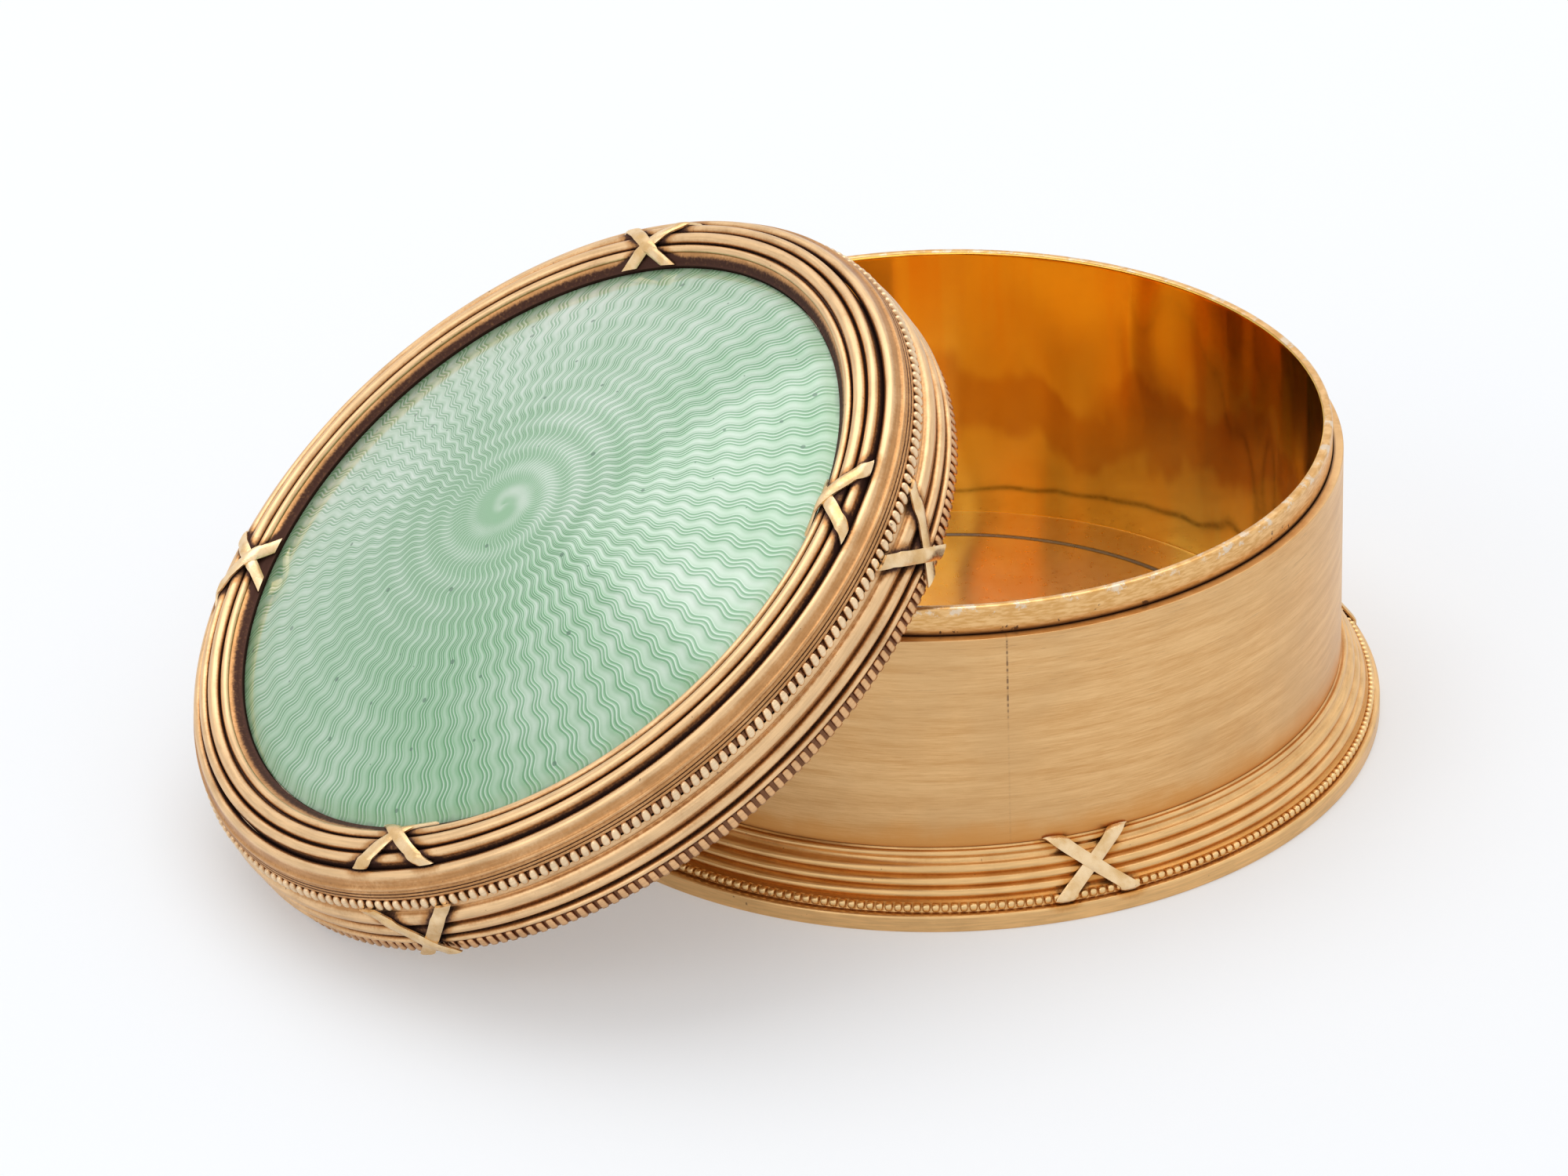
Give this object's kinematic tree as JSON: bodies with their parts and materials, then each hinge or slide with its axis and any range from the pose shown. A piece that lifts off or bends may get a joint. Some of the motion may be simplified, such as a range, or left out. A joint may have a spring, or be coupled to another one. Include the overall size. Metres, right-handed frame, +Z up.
{
  "type": "pill box",
  "caption": "Round gilt pill box with a reeded and beaded foot, open, its lift-off lid of domed green guilloche enamel leaning against the rim.",
  "frame": {"origin": "centre of the box's flat underside, on the surface it stands on", "axes": "+Z is up along the round box's axis; the lid leans on the box from the -X side, a little towards -Y, and -Y is the side it is shown from"},
  "size_m": [0.0603, 0.0529, 0.0268],
  "materials": {
    "base_plate": "polished gilt",
    "liner_and_rim": "polished gilt",
    "body_wall": "satin gold, dark in the grooves",
    "foot_moulding": "satin gold, dark in the grooves",
    "foot_bead_wire": "satin gold, dark in the grooves",
    "lid_skirt": "satin gold, dark in the grooves",
    "lid_lining": "polished gilt",
    "guilloche_plate": "engine-turned, under enamel",
    "enamel_disc": "glossy translucent vitreous enamel, pale green",
    "lid_top_ring": "satin gold, dark in the grooves",
    "lid_shoulder_moulding": "satin gold, dark in the grooves",
    "lid_bead_wire": "satin gold, dark in the grooves",
    "lid_side_band": "satin gold, dark in the grooves",
    "lid_lower_wire": "satin gold, dark in the grooves",
    "foot_tie_1": "bright satin gold",
    "foot_tie_2": "bright satin gold",
    "foot_tie_3": "bright satin gold",
    "foot_tie_4": "bright satin gold",
    "lid_top_tie_1": "bright satin gold",
    "lid_top_tie_2": "bright satin gold",
    "lid_top_tie_3": "bright satin gold",
    "lid_top_tie_4": "bright satin gold",
    "lid_side_tie_1": "bright satin gold",
    "lid_side_tie_2": "bright satin gold",
    "lid_side_tie_3": "bright satin gold",
    "lid_side_tie_4": "bright satin gold"
  },
  "bodies": {
    "box": {"base_plate": "base_plate", "liner_and_rim": "liner_and_rim", "body_wall": "body_wall", "foot_moulding": "foot_moulding", "foot_bead_wire": "foot_bead_wire", "foot_tie_1": "foot_tie_1", "foot_tie_2": "foot_tie_2", "foot_tie_3": "foot_tie_3", "foot_tie_4": "foot_tie_4"},
    "lid": {"lid_skirt": "lid_skirt", "lid_lining": "lid_lining", "guilloche_plate": "guilloche_plate", "enamel_disc": "enamel_disc", "lid_top_ring": "lid_top_ring", "lid_shoulder_moulding": "lid_shoulder_moulding", "lid_bead_wire": "lid_bead_wire", "lid_side_band": "lid_side_band", "lid_lower_wire": "lid_lower_wire", "lid_top_tie_1": "lid_top_tie_1", "lid_top_tie_2": "lid_top_tie_2", "lid_top_tie_3": "lid_top_tie_3", "lid_top_tie_4": "lid_top_tie_4", "lid_side_tie_1": "lid_side_tie_1", "lid_side_tie_2": "lid_side_tie_2", "lid_side_tie_3": "lid_side_tie_3", "lid_side_tie_4": "lid_side_tie_4"}
  },
  "joints": [
    {"name": "lid_lift", "type": "slide", "parent": "box", "child": "lid", "axis": [0, 0, 1], "range_m": [0, 0.04]}
  ]
}
